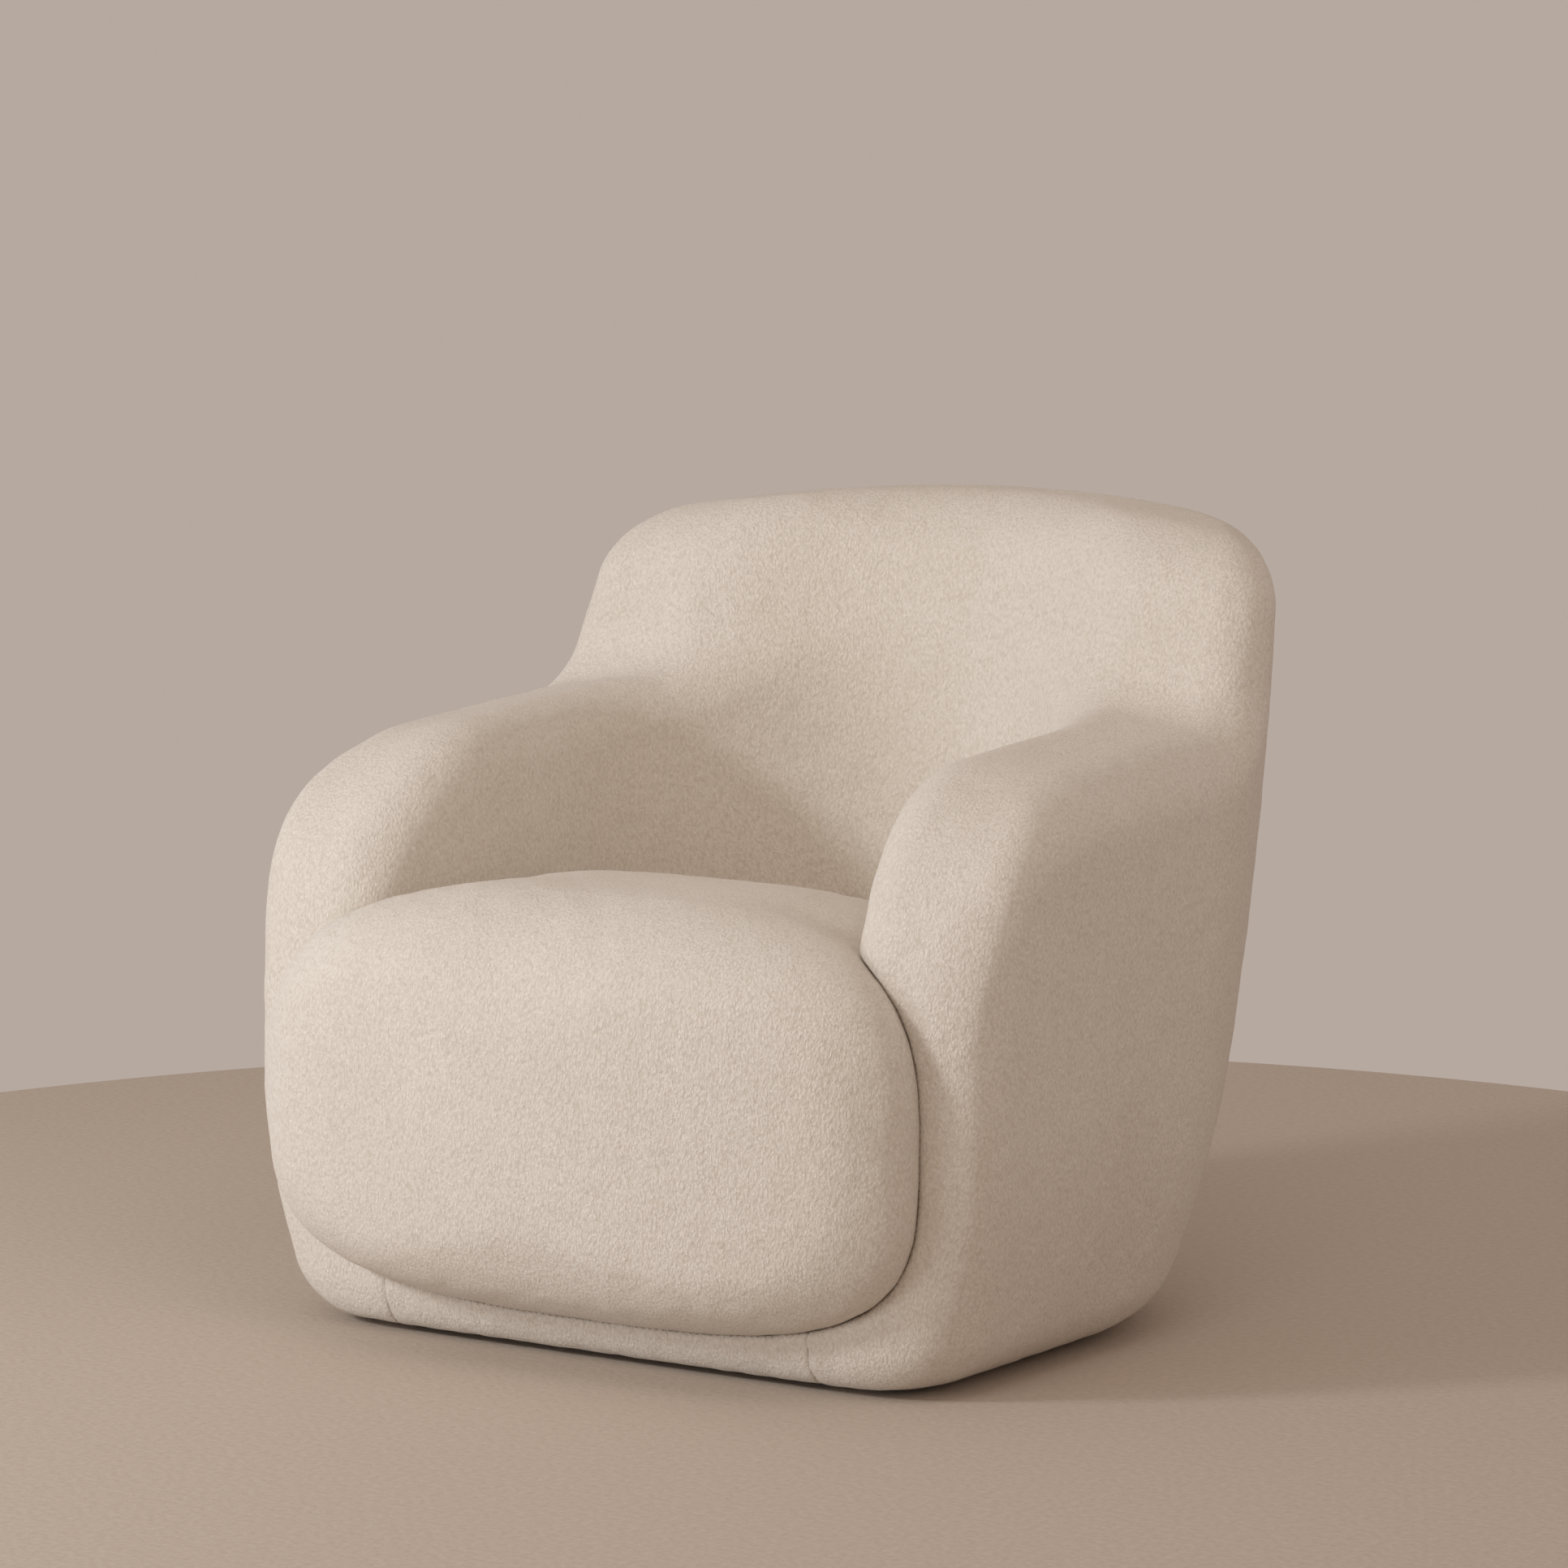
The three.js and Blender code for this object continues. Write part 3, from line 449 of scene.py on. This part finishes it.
class Nodes:
    """Short names for building one material's nodes."""

    def __init__(self, name, roughness, metallic=0.0):
        self.material = bpy.data.materials.new(name)
        self.material.use_nodes = True
        self.tree = self.material.node_tree
        self.shader = self.tree.nodes["Principled BSDF"]
        self.shader.inputs["Roughness"].default_value = roughness
        self.shader.inputs["Metallic"].default_value = metallic
        self.coordinates = self.tree.nodes.new("ShaderNodeTexCoord").outputs["Object"]

    def link(self, source, target):
        self.tree.links.new(source, target)

    def scaled(self, scale):
        """Object coordinates stretched along each axis, with one turn of texture per 1 / scale metres."""
        mapping = self.tree.nodes.new("ShaderNodeMapping")
        mapping.inputs["Scale"].default_value = scale
        self.link(self.coordinates, mapping.inputs["Vector"])
        return mapping.outputs["Vector"]

    def noise(self, scale, detail=2.0, roughness=0.5, distortion=0.0):
        texture = self.tree.nodes.new("ShaderNodeTexNoise")
        texture.inputs["Scale"].default_value = 1.0
        texture.inputs["Detail"].default_value = detail
        texture.inputs["Roughness"].default_value = roughness
        texture.inputs["Distortion"].default_value = distortion
        self.link(self.scaled(scale), texture.inputs["Vector"])
        return texture.outputs["Fac"]

    def cells(self, scale, randomness=1.0):
        texture = self.tree.nodes.new("ShaderNodeTexVoronoi")
        texture.feature = "SMOOTH_F1"
        texture.inputs["Scale"].default_value = 1.0
        texture.inputs["Randomness"].default_value = randomness
        self.link(self.scaled(scale), texture.inputs["Vector"])
        return texture.outputs["Distance"]

    def bands(self, scale, axis, distortion=0.0):
        texture = self.tree.nodes.new("ShaderNodeTexWave")
        texture.bands_direction = axis
        texture.inputs["Scale"].default_value = 1.0
        texture.inputs["Distortion"].default_value = distortion
        self.link(self.scaled(scale), texture.inputs["Vector"])
        return texture.outputs["Fac"]

    def math(self, operation, a, b):
        node = self.tree.nodes.new("ShaderNodeMath")
        node.operation = operation
        for socket, value in zip(node.inputs, (a, b)):
            if isinstance(value, (int, float)):
                socket.default_value = value
            else:
                self.link(value, socket)
        return node.outputs[0]

    def ramp(self, value, *stops):
        """Colour from a value, through (place, colour) stops."""
        node = self.tree.nodes.new("ShaderNodeValToRGB")
        elements = node.color_ramp.elements
        while len(elements) < len(stops):
            elements.new(0.5)
        for element, (share, tint) in zip(elements, stops):
            element.position = share
            element.color = tint
        self.link(value, node.inputs["Fac"])
        return node.outputs["Color"]

    def multiply(self, first, second, share=1.0):
        node = self.tree.nodes.new("ShaderNodeMix")
        node.data_type = "RGBA"
        node.blend_type = "MULTIPLY"
        node.inputs["Factor"].default_value = share
        self.link(first, node.inputs["A"])
        self.link(second, node.inputs["B"])
        return node.outputs["Result"]

    def paint(self, source):
        self.link(source, self.shader.inputs["Base Color"])

    def bump(self, height, strength, distance):
        node = self.tree.nodes.new("ShaderNodeBump")
        node.inputs["Strength"].default_value = strength
        node.inputs["Distance"].default_value = distance
        self.link(height, node.inputs["Height"])
        self.link(node.outputs["Normal"], self.shader.inputs["Normal"])

    def rough(self, value, low, high):
        node = self.tree.nodes.new("ShaderNodeMapRange")
        node.inputs["To Min"].default_value = low
        node.inputs["To Max"].default_value = high
        self.link(value, node.inputs["Value"])
        self.link(node.outputs["Result"], self.shader.inputs["Roughness"])


LOOP_TONE = (250, 245, 239)
# painted shade: the crevices between the loops are given a darker colour than the loops
CREVICE_SHADE_TONE = (230, 222, 212)


def boucle_material():
    """Ivory bouclé: small curled loops, a little longer up the cloth, with painted shade darkening the
    crevices between them.
    """
    made = Nodes("boucle", 0.95)
    loops = made.noise((660, 660, 390), detail=3.0, roughness=0.6, distortion=0.8)
    curls = made.cells((390, 390, 240))
    height = made.math("SUBTRACT", loops, made.math("MULTIPLY", curls, 0.6))
    # painted shade: the colour goes from the loop tone down to the darker crevice tone where the texture's
    # height is low
    tone = made.ramp(height, (0.02, colour(*CREVICE_SHADE_TONE)), (0.42, colour(*LOOP_TONE)))
    drift = made.ramp(made.noise((9, 9, 6)), (0.3, colour(251, 248, 243)), (0.7, colour(255, 253, 250)))
    made.paint(made.multiply(tone, drift))
    made.bump(height, 0.7, 0.003)
    made.shader.inputs["Sheen Weight"].default_value = 0.25
    made.shader.inputs["Sheen Roughness"].default_value = 0.6
    made.shader.inputs["Specular IOR Level"].default_value = 0.15
    return made.material


def foam_material():
    made = Nodes("foam", 0.9)
    cells = made.cells((420, 420, 420))
    made.paint(made.ramp(cells, (0.1, colour(206, 190, 132)), (0.5, colour(236, 224, 172))))
    made.bump(cells, 0.5, 0.001)
    return made.material


def wood_material(name, light, dark, grain_scale, rings):
    made = Nodes(name, 0.6)
    grain = made.noise(grain_scale, detail=6.0, roughness=0.6, distortion=0.4)
    lines = made.bands(rings, "X", distortion=6.0)
    figure = made.math("ADD", made.math("MULTIPLY", grain, 0.7), made.math("MULTIPLY", lines, 0.3))
    made.paint(made.ramp(figure, (0.25, colour(*dark)), (0.7, colour(*light))))
    made.rough(grain, 0.5, 0.75)
    made.bump(figure, 0.2, 0.0006)
    return made.material


def metal_material(name, light, dark, low, high):
    made = Nodes(name, 0.4, metallic=1.0)
    scratches = made.noise((60, 900, 900), detail=4.0)
    made.paint(made.ramp(scratches, (0.3, colour(*dark)), (0.7, colour(*light))))
    made.rough(scratches, low, high)
    made.bump(scratches, 0.1, 0.0002)
    return made.material


def webbing_material():
    made = Nodes("webbing", 0.85)
    warp = made.bands((260, 260, 260), "Z", distortion=0.2)
    weft = made.bands((180, 180, 180), "X", distortion=0.2)
    weave = made.math("MULTIPLY", warp, weft)
    made.paint(made.ramp(weave, (0.1, colour(48, 46, 43)), (0.8, colour(104, 98, 90))))
    made.bump(weave, 0.6, 0.0008)
    return made.material


def dust_cloth_material():
    """Black spun-bonded cloth with its grid of pressed dots."""
    made = Nodes("dust_cloth", 0.9)
    dots = made.cells((360, 360, 360), randomness=0.05)
    fibres = made.noise((700, 500, 600), detail=4.0)
    tone = made.math("ADD", made.math("MULTIPLY", dots, 0.6), made.math("MULTIPLY", fibres, 0.5))
    made.paint(made.ramp(tone, (0.2, colour(20, 19, 19)), (0.9, colour(52, 50, 48))))
    made.bump(tone, 0.5, 0.0006)
    return made.material


def plastic_material():
    made = Nodes("glide_plastic", 0.5)
    scuffs = made.noise((180, 180, 180), detail=5.0)
    made.paint(made.ramp(scuffs, (0.4, colour(24, 24, 25)), (0.75, colour(46, 45, 44))))
    made.rough(scuffs, 0.35, 0.65)
    made.bump(scuffs, 0.15, 0.0004)
    return made.material


def thread_material():
    made = Nodes("thread", 0.8)
    twist = made.bands((900, 900, 900), "DIAGONAL")
    made.paint(made.ramp(twist, (0.2, colour(150, 130, 104)), (0.8, colour(196, 178, 150))))
    made.bump(twist, 0.5, 0.0003)
    return made.material


BOUCLE = boucle_material()
FOAM = foam_material()
TIMBER = wood_material("timber", (222, 186, 128), (176, 130, 78), (60, 9, 60), (14, 2, 14))
PLYWOOD = wood_material("plywood", (206, 168, 116), (150, 108, 66), (90, 12, 30), (120, 3, 120))
STEEL = metal_material("steel", (196, 198, 202), (150, 152, 158), 0.25, 0.5)
SPRING_STEEL = metal_material("spring_steel", (120, 118, 116), (70, 68, 68), 0.35, 0.6)
WEBBING = webbing_material()
DUST_CLOTH = dust_cloth_material()
PLASTIC = plastic_material()
THREAD = thread_material()
FINISHES = {
    "timber": TIMBER,
    "plywood": PLYWOOD,
    "steel": STEEL,
    "spring_steel": SPRING_STEEL,
    "glide_plastic": PLASTIC,
}


def dress_frame():
    """The CAD nodes that stay shown take their finished materials."""
    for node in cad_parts.values():
        for slot in node.material_slots:
            if slot.material.name in FINISHES:
                slot.material = FINISHES[slot.material.name]


# ---------------------------------------------------------------- pieces
def root_piece(piece, slot, *nodes):
    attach(piece, "root")
    if nodes:
        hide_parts(*nodes)
    return piece


def grid_box(node, margin=0.02):
    """Corners of a box round a CAD node, for meshing the piece that stands for it."""
    low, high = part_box(node)
    return [v - margin for v in low], [v + margin for v in high]


def upholstery_shell():
    grid = 0.0055
    low, high = grid_box("shell_cover")
    piece = mesh_piece("upholstery_shell", *surface_net(shell_form, low, high, grid), BOUCLE)
    soften(piece)
    root_piece(piece, "boucle", "shell_cover")


def seat_pillow():
    """The seat pod: a slightly small form, blown up as a cloth and then smoothed."""
    slack, grid = 0.001, 0.008
    held_behind_y, held_beside_x = -0.2, 0.25
    low, high = grid_box("seat_pod_cover", 0.03)
    points, faces = surface_net(lambda x, y, z: pod(x, y, z) + slack, low, high, grid)
    piece = mesh_piece("seat_pillow", points, faces, BOUCLE)
    x, y, z = points.T
    puffed(piece, (y > held_behind_y) & ((z < DECK_Z) | (np.abs(x) > held_beside_x)))
    piece.modifiers.new("finer", "SUBSURF").levels = 1
    applied(piece)
    soften(piece)
    root_piece(piece, "boucle", "seat_pod_cover")


def plinth():
    grid = 0.0028
    low, high = grid_box("plinth_band", 0.05)
    piece = mesh_piece("front_band", *surface_net(band_form, low, high, grid), BOUCLE)
    soften(piece)
    root_piece(piece, "boucle", "plinth_band")


def foam_pieces():
    grid = 0.011
    forms = {"shell_foam": shell_foam_form, "seat_foam": seat_foam_form, "front_foam": front_foam_form}
    for node, form in forms.items():
        low, high = grid_box(node)
        piece = mesh_piece(f"{node}_pad", *surface_net(form, low, high, grid), FOAM)
        root_piece(piece, "foam", node)


def dust_sheet():
    """Black cloth stretched over the underside and turned in at its edge."""
    low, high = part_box("dust_cover")
    rings, spokes = 40, 160
    inset, below_board, past_hem = 0.042, 0.0004, 0.0008
    pucker_height, puckers = 0.0006, 40
    turn_start, turn_length = 0.86, 0.1
    level = high.z - below_board
    centre_y = (low.y + high.y) / 2
    points = [(0.0, centre_y, level)]
    for ring in range(1, rings + 1):
        share = ring / rings
        drop = (level - BOTTOM_Z + past_hem) * smooth((share - turn_start) / turn_length)
        for spoke in range(spokes):
            turn = 2 * math.pi * spoke / spokes
            heading = np.array([math.cos(turn), math.sin(turn)])
            far = edge_distance(heading, centre_y, inset)
            pucker = pucker_height * share**6 * math.sin(puckers * turn)
            points.append((*(heading * far * share + (0, centre_y)), level - drop - abs(pucker)))
    piece = mesh_piece("underside_cloth", points, disc_faces(rings, spokes), DUST_CLOTH)
    bpy.context.view_layer.update()
    root_piece(piece, "dust_cloth", "dust_cover")


def disc_faces(rings, spokes):
    """Faces of a disc whose first point is its middle, then its rings from the inside out."""
    faces = [(0, 1 + spoke, 1 + (spoke + 1) % spokes) for spoke in range(spokes)]
    for ring in range(rings - 1):
        first = 1 + ring * spokes
        for spoke in range(spokes):
            a, b = first + spoke, first + (spoke + 1) % spokes
            faces.append((a, a + spokes, b + spokes, b))
    return faces


def edge_distance(heading, centre_y, inset):
    """Distance from the middle of the base to the cloth's edge, along a heading.

    So close to the floor the outside form is nowhere deeper than the inset, so this gives the near bound.
    """
    near, far = 0.1, 0.5
    hem_z = 0.0185
    halvings = 20
    for _ in range(halvings):
        middle = (near + far) / 2
        x, y = heading * middle + (0, centre_y)
        if outside(x, y, hem_z) + inset < 0:
            near = middle
        else:
            far = middle
    return near


def back_straps():
    """Elastic straps, woven in lengthwise ribs."""
    columns, rows = 90, 24
    ribs, rib_height = 8, 0.0002
    thickness, front_gap = 0.0013, 0.0016
    for number in range(1, 5):
        node = f"back_strap_{number}"
        low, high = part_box(node)
        points = []
        for row in range(rows + 1):
            v = row / rows
            ridge = rib_height * math.cos(2 * math.pi * ribs * v)
            for column in range(columns + 1):
                x = mix(low.x, high.x, column / columns)
                points.append((x, mix(low.y, high.y - front_gap, v) + ridge, mix(low.z, high.z, v)))
        strap = mesh_piece(f"woven_strap_{number}", points, grid_faces(rows, columns), WEBBING)
        thick = strap.modifiers.new("thickness", "SOLIDIFY")
        thick.thickness = thickness
        thick.offset = -1
        applied(strap)
        root_piece(strap, "webbing", node)


def grid_faces(rows, columns):
    faces = []
    for row in range(rows):
        for column in range(columns):
            a = row * (columns + 1) + column
            faces.append((a, a + 1, a + columns + 2, a + columns + 1))
    return faces


def seam_line(angles):
    """Points where the pod meets the wall, found from a ring round the front of the pod."""
    ring_x, ring_y, ring_z = 0.34, -0.335, 0.19
    depth = 0.004
    turns, pace = 60, 0.35
    points = np.stack([
        ring_x * np.cos(angles),
        np.full_like(angles, ring_y),
        POD_CENTRE_Z + ring_z * np.sin(angles),
    ], axis=1)
    for _ in range(turns):
        on_pod = pod(*points.T)
        on_wall = upholstered_wall(*points.T) + depth
        slope_pod = gradient(pod, points)
        slope_wall = gradient(upholstered_wall, points)
        points = points - pace * slope_pod * (on_pod / (slope_pod**2).sum(axis=1))[:, None]
        points = points - pace * slope_wall * (on_wall / (slope_wall**2).sum(axis=1))[:, None]
    return points


def seam_stitches():
    """Short slip stitches that draw the pod to the wall."""
    every = 0.0075
    half_width, half_slant, thread = 0.0021, 0.0012, 0.00035
    rise_height, sunk_by = 0.0008, 0.0003
    longest_gap = 0.02
    from_angle, to_angle, samples = -220, 40, 1200
    angles = np.radians(np.linspace(from_angle, to_angle, samples))
    line = seam_line(angles)
    gaps = np.linalg.norm(np.diff(line, axis=0), axis=1)
    length = np.concatenate([[0], np.cumsum(np.minimum(gaps, longest_gap))])
    marks = np.arange(0, length[-1], every)
    spots = np.stack([np.interp(marks, length, line[:, i]) for i in range(3)], axis=1)
    runs = np.gradient(spots, axis=0)
    runs /= np.linalg.norm(runs, axis=1)[:, None]
    outward = gradient(pod, spots) + gradient(upholstered_wall, spots)
    outward /= np.linalg.norm(outward, axis=1)[:, None]
    mesh = bmesh.new()
    for spot, run, up in zip(spots, runs, outward):
        reach = Vector(np.cross(run, up)).normalized() * half_width + Vector(run) * half_slant
        rise = Vector(up) * rise_height
        sink = Vector(up) * sunk_by
        base = Vector(spot)
        tube(mesh, [base - reach - sink, base + rise, base + reach - sink], thread)
    data = bpy.data.meshes.new("seam_stitches")
    mesh.to_mesh(data)
    mesh.free()
    root_piece(linked("seam_stitches", data, THREAD), "boucle")


def tube(mesh, path, radius, sides=6):
    """A closed thread along a short path."""
    rings = []
    for index, point in enumerate(path):
        ahead = path[min(index + 1, len(path) - 1)] - path[max(index - 1, 0)]
        first = ahead.orthogonal().normalized()
        second = ahead.cross(first).normalized()
        ring = []
        for side in range(sides):
            turn = 2 * math.pi * side / sides
            ring.append(mesh.verts.new(point + (first * math.cos(turn) + second * math.sin(turn)) * radius))
        rings.append(ring)
    for lower, upper in zip(rings, rings[1:]):
        for side in range(sides):
            after = (side + 1) % sides
            mesh.faces.new((lower[side], lower[after], upper[after], upper[side]))
    mesh.faces.new(rings[0][::-1])
    mesh.faces.new(rings[-1])


# ---------------------------------------------------------------- stage
WALL_TONE = (182, 169, 160)
FLOOR_TONE = (206, 193, 180)
FLOOR_GRAIN_TONE = (196, 182, 168)


def floor():
    """A plain pale floor with a fine grain."""
    radius = 1.5
    edge_points = 128
    made = Nodes("floor_pale", 0.9)
    grain = made.noise((140, 140, 140), detail=4.0)
    made.paint(made.ramp(grain, (0.3, colour(*FLOOR_GRAIN_TONE)), (0.7, colour(*FLOOR_TONE))))
    made.bump(grain, 0.3, 0.002)
    mesh = bmesh.new()
    bmesh.ops.create_circle(mesh, cap_ends=True, segments=edge_points, radius=radius)
    data = bpy.data.meshes.new("floor")
    mesh.to_mesh(data)
    mesh.free()
    linked("floor", data, made.material)


def area_light(name, spot, aim, size, power, tint):
    data = bpy.data.lights.new(name, "AREA")
    data.shape = "DISK"
    data.size = size
    data.energy = power
    data.color = tint
    light = bpy.data.objects.new(name, data)
    light.location = spot
    light.rotation_euler = (Vector(aim) - Vector(spot)).to_track_quat("-Z", "Y").to_euler()
    bpy.context.scene.collection.objects.link(light)


def lights():
    area_light("key", (-1.8, -2.75, 1.75), (0, 0, 0.42), 0.5, 38, (0.93, 0.975, 1.0))
    area_light("low_front", (-1.9, -3.6, 0.35), (0, -0.3, 0.1), 1.2, 30, (0.88, 0.94, 1.0))
    area_light("from_above", (0.9, -0.9, 2.2), (-0.2, 0.1, 0.5), 1.0, 5, (1.0, 0.88, 0.76))
    world = bpy.data.worlds.new("room")
    world.use_nodes = True
    background = world.node_tree.nodes["Background"]
    background.inputs["Color"].default_value = colour(*WALL_TONE)
    background.inputs["Strength"].default_value = 1.0
    bpy.context.scene.world = world


def camera():
    """Front three-quarter view from the sitter's left, a long way off with a long lens."""
    heading, pitch = math.radians(33.47), math.radians(6.974)
    data = bpy.data.cameras.new("camera")
    data.lens = 140.3
    data.sensor_width = 36.0
    view = bpy.data.objects.new("camera", data)
    view.location = (3.1973, -4.8453, 1.216)
    view.rotation_euler = (math.pi / 2 - pitch, 0, heading)
    bpy.context.scene.collection.objects.link(view)
    bpy.context.scene.camera = view


dress_frame()
upholstery_shell()
seat_pillow()
plinth()
foam_pieces()
dust_sheet()
back_straps()
seam_stitches()
floor()
lights()
camera()
bpy.context.scene.view_settings.view_transform = "Standard"
